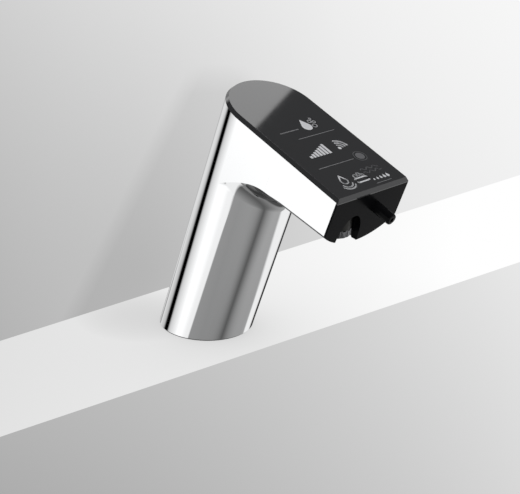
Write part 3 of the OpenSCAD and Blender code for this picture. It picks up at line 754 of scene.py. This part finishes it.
def thread_tree():
    """Geometry Nodes: a capped cylinder along Z whose rows move in and out as the thread turns."""
    g = bpy.data.node_groups.new("rolled_thread", "GeometryNodeTree")
    sizes = (("Radius", STUD_R), ("Thread Depth", THREAD_DEPTH), ("Pitch", PITCH), ("Low", STUD_LOW),
             ("Top", STUD_TOP), ("Runout", RUNOUT))
    for name, value in sizes:
        socket = g.interface.new_socket(name, in_out="INPUT", socket_type="NodeSocketFloat")
        socket.default_value = value
    g.interface.new_socket("Rows", in_out="INPUT", socket_type="NodeSocketInt")
    g.interface.new_socket("Material", in_out="INPUT", socket_type="NodeSocketMaterial")
    g.interface.new_socket("Geometry", in_out="OUTPUT", socket_type="NodeSocketGeometry")
    add, link = g.nodes.new, g.links.new
    gin, gout = add("NodeGroupInput"), add("NodeGroupOutput")
    size = gin.outputs

    def f(kind, a, b=0.0):
        n = add("ShaderNodeMath")
        n.operation = kind
        for socket, v in zip(n.inputs, (a, b)):
            if isinstance(v, (int, float)):
                socket.default_value = v
            else:
                link(v, socket)
        return n.outputs[0]

    rod = add("GeometryNodeMeshCylinder")
    rod.inputs["Vertices"].default_value = STUD_SIDES
    rod.inputs["Radius"].default_value = 1.0
    link(size["Rows"], rod.inputs["Side Segments"])
    link(f("SUBTRACT", size["Top"], size["Low"]), rod.inputs["Depth"])
    where, parts = add("GeometryNodeInputPosition"), add("ShaderNodeSeparateXYZ")
    link(where.outputs[0], parts.inputs[0])
    x, y = parts.outputs["X"], parts.outputs["Y"]
    z = f("ADD", parts.outputs["Z"], f("MULTIPLY", f("ADD", size["Low"], size["Top"]), 0.5))
    turn = f("DIVIDE", f("ARCTAN2", y, x), FULL_TURN)
    phase = f("FRACT", f("SUBTRACT", f("DIVIDE", z, size["Pitch"]), turn))
    valley = f("SUBTRACT", 1.0, f("ABSOLUTE", f("SUBTRACT", f("MULTIPLY", phase, 2.0), 1.0)))
    from_low, from_top = f("SUBTRACT", z, size["Low"]), f("SUBTRACT", size["Top"], z)
    fade = f("MINIMUM", f("DIVIDE", f("MINIMUM", from_low, from_top), size["Pitch"]), 1.0)
    cut = f("ADD", valley, f("MULTIPLY", f("SUBTRACT", 1.0, fade), size["Runout"]))
    r = f("SUBTRACT", size["Radius"], f("MULTIPLY", cut, size["Thread Depth"]))
    place, move = add("ShaderNodeCombineXYZ"), add("GeometryNodeSetPosition")
    for axis, value in zip("XYZ", (f("MULTIPLY", x, r), f("MULTIPLY", y, r), z)):
        link(value, place.inputs[axis])
    real, paint = add("GeometryNodeRealizeInstances"), add("GeometryNodeSetMaterial")
    link(rod.outputs["Mesh"], move.inputs["Geometry"])
    link(place.outputs[0], move.inputs["Position"])
    link(move.outputs[0], real.inputs[0])
    link(real.outputs[0], paint.inputs["Geometry"])
    link(size["Material"], paint.inputs["Material"])
    link(paint.outputs[0], gout.inputs[0])
    return g


def thread_mesh():
    """The plain mesh of the tree's result, in millimetres."""
    maker = bpy.data.objects.new("thread_maker", bpy.data.meshes.new("thread_maker"))
    bpy.context.collection.objects.link(maker)
    modifier = maker.modifiers.new("thread", "NODES")
    modifier.node_group = thread_tree()
    sockets = {s.name: s.identifier for s in modifier.node_group.interface.items_tree}
    modifier[sockets["Rows"]] = int((STUD_TOP - STUD_LOW) / PITCH * STUD_STEPS)
    modifier[sockets["Material"]] = STEEL
    seen = maker.evaluated_get(bpy.context.evaluated_depsgraph_get())
    mesh = bpy.data.meshes.new_from_object(seen)
    maker.modifiers.remove(modifier)
    bpy.data.objects.remove(maker)
    return mesh


def build_stud(bm):
    bm.from_mesh(thread_mesh())


stud_place = Matrix.Translation((0, STUD_Y * MM, 0))
solid("stud", build_stud, STEEL, "tap", "fixing_stud", 0, stud_place)

# Clamping washers: a rubber and a steel horseshoe press on the deck's underside. The hoses pass
# through their slot, and the stud through their hole.
HORSESHOE_R = 25.0
SLOT_R = 14.5
SLOT_Y = -8.0
STUD_HOLE_R = 4.4
RUBBER_LOW = -23
RUBBER_T = 3
STEEL_LOW = -25.5
STEEL_T = 2.5


def horseshoe(low, thick):
    def build(bm):
        start = math.asin(SLOT_R / HORSESHOE_R)
        outer = [(HORSESHOE_R * math.sin(a), -HORSESHOE_R * math.cos(a))
                 for a in spaced(start, FULL_TURN - start, 110)]
        inner = [(SLOT_R * math.cos(a), SLOT_Y + SLOT_R * math.sin(a)) for a in spaced(HALF_TURN, 0, 60)]
        hole = [(STUD_HOLE_R * math.cos(a), STUD_Y + STUD_HOLE_R * math.sin(a))
                for a in spaced(0, FULL_TURN, 40)[:-1]]
        loops = (outer + inner, hole)
        for loop in loops:
            rings(bm, [[(x, y, z) for x, y in loop] for z in (low, low + thick)], False)
        for z in (low, low + thick):
            edges = []
            for loop in loops:
                vs = [bm.verts.new((x, y, z)) for x, y in loop]
                edges += [bm.edges.new((vs[i], vs[(i + 1) % len(vs)])) for i in range(len(vs))]
            bmesh.ops.triangle_fill(bm, use_beauty=True, edges=edges)

    return build


solid("rubber_horseshoe", horseshoe(RUBBER_LOW, RUBBER_T), RUBBER, "clamp", "rubber_washer", 0.3)
solid("steel_horseshoe", horseshoe(STEEL_LOW, STEEL_T), STEEL, "clamp", "clamp_plate", 0.25)

# Nut: a long hexagonal brass nut on the stud presses the washers up. Its corners are chamfered at
# both ends.
NUT_LOW = -45.5
NUT_TOP = -25.5
NUT_HALF_FLATS = 6.5
NUT_CORNER_R = 7.506
NUT_END_R = 6.3
NUT_CHAMFER = 0.8
NUT_BORE_R = 4.05
SIXTH = HALF_TURN / 3


def build_nut(bm):
    turns = spaced(0, FULL_TURN, 96)[:-1]

    def row(limit, z):
        """A hexagon whose corners are cut off at a radius."""
        flat = [(a, NUT_HALF_FLATS / math.cos(a % SIXTH - SIXTH / 2)) for a in turns]
        return [(min(r, limit) * math.cos(a), min(r, limit) * math.sin(a), z) for a, r in flat]

    rows = [row(NUT_END_R, NUT_LOW), row(NUT_CORNER_R, NUT_LOW + NUT_CHAMFER),
            row(NUT_CORNER_R, NUT_TOP - NUT_CHAMFER), row(NUT_END_R, NUT_TOP)]
    rows += turned([(NUT_BORE_R, NUT_TOP), (NUT_BORE_R, NUT_LOW)], turns)
    rings(bm, [*rows, rows[0]], False)


solid("long_nut", build_nut, BRASS, "nut", "fixing_nut", 0, stud_place)

# Camera: its place, direction and opening were fitted to the photograph, in metres and degrees.
EYE = Vector((-0.4556, -0.5135, 0.3106))
AHEAD = Vector((0.6505, 0.6690, -0.3596)).normalized()
RIGHT = Vector((0.7173, -0.6968, 0.0014))
VIEW_ANGLE = math.radians(22.7256)
PICTURE = (520, 494)
cam_data = bpy.data.cameras.new("camera")
cam = bpy.data.objects.new("camera", cam_data)
bpy.context.collection.objects.link(cam)
picture_right = (RIGHT - AHEAD * RIGHT.dot(AHEAD)).normalized()
picture_up = picture_right.cross(AHEAD)
turned_axes = Matrix((picture_right, picture_up, -AHEAD)).transposed().to_4x4()
cam.matrix_world = Matrix.Translation(EYE) @ turned_axes
cam_data.sensor_fit = "HORIZONTAL"
cam_data.angle = VIEW_ANGLE
cam_data.clip_start, cam_data.clip_end = 0.01, 20
scene = bpy.context.scene
scene.camera = cam
scene.view_settings.view_transform = "Standard"

# Stage: the deck's strip, the wall behind it and the front below it, in the photograph's soft greys.
# Greys are display values over the photograph's width and height, laid on the surfaces once from the
# photograph's own eye, so that they stay in place in other views. The greys hold painted light and
# shade: lighter to the right, darker downwards and darker in corners near the tap. The tap's painted
# shadows on the wall and the deck lie at places in metres.
BACK_A, BACK_B = Vector((-0.101, 0.0604, 0)), Vector((0.3614, 0.0356, 0))
FRONT_A, FRONT_B = Vector((-0.162, -0.0315, 0)), Vector((0.2088, -0.0721, 0))
STAGE_ENDS = (-1.5, 2.5)
STAGE_H = 1.2
DISPLAY_POWER = 2.2
LEAST_REACH = 0.1
OCCLUSION_REACH = 0.16
OCCLUSION_SHARE = 0.34
WALL_LEVEL = 0.816
WALL_FALL = (-0.1, 0.162)
FRONT_LEVEL = 0.745
FRONT_FALL = (-0.05, 0.19)
FRONT_TOP = 0.39
DECK_LEVEL = 0.886
RISE_RIGHT = 0.15
DECK_RISE_RIGHT = 0.13
WALL_BOW = 0.08
FRONT_BOW = -0.07
WALL_SLOPE = -0.0536
SHADOW_LEFT = (-0.716, 0.0569)
SHADOW_RIGHT = (-0.69, 0.1639)
SHADOW_TOP = (-0.159, 0.134)
SHADOW_SOFT = 0.016
SHADOW_TOP_SOFT = 0.018
WALL_SHADOW = 0.05
DECK_SHADOW_AT = (-0.021, 0.035)
DECK_SHADOW_HALF = (0.032, 0.034)
DECK_SHADOW = 0.06
DECK_SHADOW_FROM = 0.3
DECK_SHADOW_SOFT = 1.4


class Maths:
    """Adds Math nodes to one shader tree; every value is a number or a socket."""

    def __init__(self, tree):
        self.tree = tree

    def __call__(self, kind, a, b=0.0, clamp=False):
        node = self.tree.nodes.new("ShaderNodeMath")
        node.operation, node.use_clamp = kind, clamp
        for socket, v in zip(node.inputs, (a, b)):
            if isinstance(v, (int, float)):
                socket.default_value = v
            else:
                self.tree.links.new(v, socket)
        return node.outputs[0]

    def line(self, value, slope, start):
        return self("ADD", self("MULTIPLY", value, slope), start)

    def step(self, value, soft):
        """0 where value is well below zero and 1 well above it, over a soft width."""
        return self("ADD", self("DIVIDE", value, soft), 0.5, True)

    def blend(self, low, high, share):
        return self("ADD", low, self("MULTIPLY", self("SUBTRACT", high, low), share))

    def bow(self, x, height):
        """0 at both sides of the picture and a quarter of the height in its middle."""
        return self("MULTIPLY", self("MULTIPLY", x, self("SUBTRACT", 1, x)), height)

    def inside(self, x, y, centre, half):
        """1 at an ellipse's centre, 0 on its line and below 0 outside it."""
        dx = self("DIVIDE", self("SUBTRACT", x, centre[0]), half[0])
        dy = self("DIVIDE", self("SUBTRACT", y, centre[1]), half[1])
        return self("SUBTRACT", 1, self("ADD", self("MULTIPLY", dx, dx), self("MULTIPLY", dy, dy)))


def laid_out(f, place):
    """Where a point of the stage lies over the photograph's width and height, from 0 to 1."""

    def reach(axis):
        total = -EYE.dot(axis)
        for part, share in zip("XYZ", axis):
            total = f("ADD", total, f("MULTIPLY", place[part], share))
        return total

    depth = f("MAXIMUM", reach(AHEAD), LEAST_REACH)
    wide = 2 * math.tan(VIEW_ANGLE / 2)
    spans = ((picture_right, wide), (picture_up, wide * PICTURE[1] / PICTURE[0]))
    return [f("ADD", f("DIVIDE", reach(axis), f("MULTIPLY", depth, span)), 0.5, True) for axis, span in spans]


def wall_grey(f, x, y, place):
    """Painted shade darker downwards, with the tap's painted soft shadow between two leaning lines and below
    a third.
    """
    fall = f("MULTIPLY", f("SUBTRACT", 1, y), f.line(x, *WALL_FALL))
    plain = f("ADD", f("SUBTRACT", f.line(x, RISE_RIGHT, WALL_LEVEL), fall), f.bow(x, WALL_BOW))
    along, height = f("ADD", place["X"], f("MULTIPLY", place["Y"], WALL_SLOPE)), place["Z"]
    left = f.step(f("ADD", along, f.line(height, *SHADOW_LEFT)), SHADOW_SOFT)
    right = f.step(f("SUBTRACT", f.line(height, *SHADOW_RIGHT), along), SHADOW_SOFT)
    below = f.step(f("SUBTRACT", f.line(along, *SHADOW_TOP), height), SHADOW_TOP_SOFT)
    shadow = f("MULTIPLY", f("MULTIPLY", left, right), below)
    return f("SUBTRACT", plain, f("MULTIPLY", shadow, WALL_SHADOW))


def deck_grey(f, x, _y, place):
    # Painted light lighter to the right, less the tap's painted shadow in an oval beside its foot.
    plain = f("MINIMUM", f.line(x, DECK_RISE_RIGHT, DECK_LEVEL), 1.0)
    shadow_oval = f.inside(place["X"], place["Y"], DECK_SHADOW_AT, DECK_SHADOW_HALF)
    shadow = f.step(f("SUBTRACT", shadow_oval, DECK_SHADOW_FROM), DECK_SHADOW_SOFT)
    return f("SUBTRACT", plain, f("MULTIPLY", shadow, DECK_SHADOW))


def front_grey(f, x, y, _place):
    # Painted light and shade: lighter to the right and darker downwards.
    fall = f("MULTIPLY", f("SUBTRACT", FRONT_TOP, y), f.line(x, *FRONT_FALL))
    return f("ADD", f("SUBTRACT", f.line(x, RISE_RIGHT, FRONT_LEVEL), fall), f.bow(x, FRONT_BOW))


def stage_material(name, grey_of):
    """Glows with a grey, with painted shade darker in corners, and is clear from behind."""
    m = bpy.data.materials.new(name)
    m.use_nodes = True
    tree = m.node_tree
    tree.nodes.clear()
    add, link, f = tree.nodes.new, tree.links.new, Maths(tree)
    side, place = add("ShaderNodeNewGeometry"), add("ShaderNodeSeparateXYZ")
    link(side.outputs["Position"], place.inputs[0])
    grey = grey_of(f, *laid_out(f, place.outputs), place.outputs)
    # Ambient occlusion darkens the glow near the tap: painted shade in corners.
    shade = add("ShaderNodeAmbientOcclusion")
    shade.inputs["Distance"].default_value = OCCLUSION_REACH
    shade.samples = 16
    soft = f.line(shade.outputs["AO"], OCCLUSION_SHARE, 1 - OCCLUSION_SHARE)
    glow, out = add("ShaderNodeEmission"), add("ShaderNodeOutputMaterial")
    link(f("MULTIPLY", f("POWER", grey, DISPLAY_POWER), soft), glow.inputs["Strength"])
    clear, mix = add("ShaderNodeBsdfTransparent"), add("ShaderNodeMixShader")
    link(side.outputs["Backfacing"], mix.inputs[0])
    link(glow.outputs[0], mix.inputs[1])
    link(clear.outputs[0], mix.inputs[2])
    link(mix.outputs[0], out.inputs[0])
    return m


def stage_quad(name, corners, grey_of):
    mesh = bpy.data.meshes.new(name)
    mesh.from_pydata([tuple(c) for c in corners], [], [(0, 1, 2, 3)])
    mesh.materials.append(stage_material(name, grey_of))
    obj = bpy.data.objects.new(name, mesh)
    bpy.context.collection.objects.link(obj)
    obj.visible_glossy = obj.visible_diffuse = obj.visible_shadow = False


back_left, back_right = (BACK_A + (BACK_B - BACK_A) * t for t in STAGE_ENDS)
front_left, front_right = (FRONT_A + (FRONT_B - FRONT_A) * t for t in STAGE_ENDS)
rise = Vector((0, 0, STAGE_H))
stage_quad("stage_deck", [front_left, front_right, back_right, back_left], deck_grey)
stage_quad("stage_wall", [back_left, back_right, back_right + rise, back_left + rise], wall_grey)
stage_quad("stage_front", [front_left - rise, front_right - rise, front_right, front_left], front_grey)

# Surroundings that the chrome and the cover mirror. Below the tap lies a grey ground with straight
# edges in a bright room, behind it a dark line, and above it a dark ceiling with one light sheet.
# Levels are light strengths. The ground's places are u to the right and w to the back, on a level
# one unit below the eye; its edges are lines of (slope, start).
ROOM_BANDS = (
    (-180, 0.6), (-170, 0.76), (-158, 0.74), (-150, 0.45), (-135.5, 0.45), (-134.5, 0.03),
    (-112.5, 0.03), (-109, 0.7), (-101, 0.9), (-60, 0.93), (60, 0.93), (108, 0.94), (116, 1.08),
    (138, 1.08), (142, 0.95), (148, 0.81), (154.5, 0.66), (157.3, 0.5), (160.3, 0.0), (169.5, 0.0),
    (172.5, 0.3), (175.5, 0.51), (180, 0.6),
)
BAND_BLUE = 1.005
SLANT = 0.6
SLANT_LEVEL = 0.25
SLANT_FROM = 2.2
LOW_ROOM_LEVEL = 0.9
LOW_ROOM_Z = -0.58
GROUND_Z = -0.25
EDGE_SOFT = 0.08
HEIGHT_SOFT = 0.1
TURN_SOFT = 0.2
FAR_EDGE = (0.45, 0.775)
FAR_RISE = (3, 1.05)
LEFT_CUT_AT = 1.42
LEFT_CUT_SLOPE = 3
LEFT_EDGE = (-0.41, -0.446)
RIGHT_EDGE = (0.55, 1.1)
RIGHT_MOST = 1.02
GROUND_LEFT = 0.32
GROUND_RIGHT = 0.392
FOLD_DARK = 0.29
FOLD_HALF = (0.25, 0.6)
FOLD_POWER = 1.3
FOLD_WIDENS = (0.55, 3.3)
FOLD_DRIFT = (0.25, 0.35)
LIGHT_SPOT = (0.215, (0.0, 0.65), (0.2, 0.35))
DARK_SPOT = (0.07, (0.62, 0.5), (0.42, 0.48))
SPOT_SOFT = 0.6
FOOT_AT = (0.65, 1.5)
FOOT_HALF = (1.6, 0.5)
FOOT_SOFT = (0.2, 0.1)
FOOT_LEVEL = 0.055
SHEET_EDGE = ((21.3, -8.9), (-23.9, 12.3))
SHEET_SIDE_Q = -20
SHEET_LEVEL = 2.4
SHEET_SHARPNESS = 400
SHEET_SIDE_SOFT = 0.2
CEILING_LEVEL = 0.04
CEILING_Z = 0.28
CEILING_SHARPNESS = 10
LEAST_DEPTH = 0.05
AGAIN_FROM_U = -0.3
AGAIN_SOFT = 0.12
AGAIN_LEVELS = (0.4, 0.9)
DAYLIGHT = (0.82, 0.83, 0.85, 1)
DAYLIGHT_STRENGTH = 0.75


def room_level(tree, f, x, y, z):
    """Levels by the turn about Z; the dark line behind slants a little."""
    turn = f("ARCTAN2", f("MULTIPLY", x, -1), f("MULTIPLY", y, -1))
    slant = f("MULTIPLY", f("ADD", f("ARCSINE", z), SLANT_LEVEL), SLANT)
    slant = f("MULTIPLY", slant, f.step(f("SUBTRACT", turn, SLANT_FROM), TURN_SOFT))
    place = f("ADD", f("DIVIDE", f("SUBTRACT", turn, slant), FULL_TURN), 0.5)
    ramp = tree.nodes.new("ShaderNodeValToRGB")
    tree.links.new(place, ramp.inputs[0])
    elements = ramp.color_ramp.elements
    while len(elements) < len(ROOM_BANDS):
        elements.new(0.5)
    for element, (degrees, level) in zip(elements, ROOM_BANDS):
        element.position = (degrees + 180) / 360
        element.color = (level, level, level * BAND_BLUE, 1)
    return f.blend(ramp.outputs[0], LOW_ROOM_LEVEL, f.step(f("SUBTRACT", LOW_ROOM_Z, z), HEIGHT_SOFT))


def ground_level(f, u, w):
    """Grey that grows lighter to the right, with a dark fold along w and two soft spots."""
    wide = f("MULTIPLY", f("ADD", w, FOLD_WIDENS[0]), FOLD_WIDENS[1], True)
    drift = f("MULTIPLY", f("ADD", w, FOLD_DRIFT[0], True), FOLD_DRIFT[1])
    off = f("ABSOLUTE", f("DIVIDE", f("ADD", u, drift), f.blend(*FOLD_HALF, wide)))
    fold = f("EXPONENT", f("MULTIPLY", f("POWER", off, FOLD_POWER), -1))
    grey = f.blend(GROUND_LEFT, GROUND_RIGHT, f("ADD", u, 0.5, True))
    grey = f.blend(grey, f("MULTIPLY", grey, FOLD_DARK), fold)
    for level, centre, half in (LIGHT_SPOT, DARK_SPOT):
        grey = f.blend(grey, level, f.step(f.inside(u, w, centre, half), SPOT_SOFT))
    return grey


def ground_share(f, u, w):
    """1 on the ground and 0 past its far, left and right edges."""
    edge = f("MAXIMUM", f.line(u, *FAR_EDGE), f.line(u, *FAR_RISE))
    edge = f("MINIMUM", edge, f("MULTIPLY", f("ADD", u, LEFT_CUT_AT), LEFT_CUT_SLOPE))
    edge = f("MAXIMUM", edge, f.line(u, *LEFT_EDGE))
    right_edge = f("MINIMUM", f.line(w, *RIGHT_EDGE), RIGHT_MOST)
    behind, aside = f("SUBTRACT", edge, w), f("SUBTRACT", right_edge, u)
    return f("MULTIPLY", f.step(behind, EDGE_SOFT), f.step(aside, EDGE_SOFT))


def ceiling_level(tree, f, direction, x):
    """Dark, with a light sheet whose edge crosses the cover between two places on it."""
    top = RIM + COVER_T
    normal = lean_point(0, 0, 1).normalized()

    def mirrored(spot_x, q):
        return (lean_point(spot_x, q, top) - EYE).normalized().reflect(normal)

    rim = mirrored(*SHEET_EDGE[0]).cross(mirrored(*SHEET_EDGE[1])).normalized()
    if rim.dot(mirrored(0, SHEET_SIDE_Q)) < 0:
        rim = -rim
    dot = tree.nodes.new("ShaderNodeVectorMath")
    dot.operation = "DOT_PRODUCT"
    tree.links.new(direction, dot.inputs[0])
    dot.inputs[1].default_value = rim
    sheet = f("MULTIPLY", dot.outputs["Value"], SHEET_SHARPNESS, True)
    sheet = f("MULTIPLY", sheet, f.step(x, SHEET_SIDE_SOFT))
    return f.line(sheet, SHEET_LEVEL, CEILING_LEVEL)


world = bpy.data.worlds.new("surroundings")
scene.world = world
world.use_nodes = True
sky = world.node_tree
sky.nodes.clear()
f = Maths(sky)
coord, parts = sky.nodes.new("ShaderNodeTexCoord"), sky.nodes.new("ShaderNodeSeparateXYZ")
sky.links.new(coord.outputs["Generated"], parts.inputs[0])
x, y, z = parts.outputs
depth = f("MAXIMUM", f("MULTIPLY", z, -1), LEAST_DEPTH)
u, w = f("DIVIDE", x, depth), f("DIVIDE", y, depth)
low = f.step(f("SUBTRACT", GROUND_Z, z), HEIGHT_SOFT)
foot = low
for place, at, half, soft in zip((u, w), FOOT_AT, FOOT_HALF, FOOT_SOFT):
    off = f("ABSOLUTE", f("SUBTRACT", place, at))
    foot = f("MULTIPLY", foot, f.step(f("SUBTRACT", half, off), soft))
room = room_level(sky, f, x, y, z)
level = f.blend(room, ground_level(f, u, w), f("MULTIPLY", ground_share(f, u, w), low))
level = f.blend(level, FOOT_LEVEL, foot)
ceiling = ceiling_level(sky, f, coord.outputs["Generated"], x)
level = f.blend(level, ceiling, f("MULTIPLY", f("SUBTRACT", z, CEILING_Z), CEILING_SHARPNESS, True))

# Light that the chrome mirrors twice, under the head, comes back darker. The same world lights the
# matt pieces with an even daylight.
path = sky.nodes.new("ShaderNodeLightPath")
twice = f("GREATER_THAN", path.outputs["Glossy Depth"], 1.5)
again = f.blend(*AGAIN_LEVELS, f.step(f("SUBTRACT", AGAIN_FROM_U, u), AGAIN_SOFT))
level = f("MULTIPLY", level, f.blend(1.0, again, twice))
plain, glossy = sky.nodes.new("ShaderNodeBackground"), sky.nodes.new("ShaderNodeBackground")
plain.inputs[0].default_value = DAYLIGHT
plain.inputs[1].default_value = DAYLIGHT_STRENGTH
glossy.inputs[0].default_value = (1, 1, 1, 1)
sky.links.new(level, glossy.inputs[1])
mix, out = sky.nodes.new("ShaderNodeMixShader"), sky.nodes.new("ShaderNodeOutputWorld")
sky.links.new(path.outputs["Is Glossy Ray"], mix.inputs[0])
sky.links.new(plain.outputs[0], mix.inputs[1])
sky.links.new(glossy.outputs[0], mix.inputs[2])
sky.links.new(mix.outputs[0], out.inputs[0])

# Lamp: one soft square lamp from the upper right gives the matt pieces their shape. The chrome
# doesn't mirror it.
LAMP_AT = Vector((0.5, -0.4, 0.8))
LAMP_TOWARDS = Vector((0, -0.05, 0.1))
lamp_data = bpy.data.lights.new("soft_lamp", "AREA")
lamp_data.energy, lamp_data.size = 3.0, 0.6
lamp = bpy.data.objects.new("soft_lamp", lamp_data)
lamp.location = LAMP_AT
lamp.rotation_euler = (LAMP_TOWARDS - LAMP_AT).to_track_quat("-Z", "Y").to_euler()
lamp.visible_glossy = False
bpy.context.collection.objects.link(lamp)
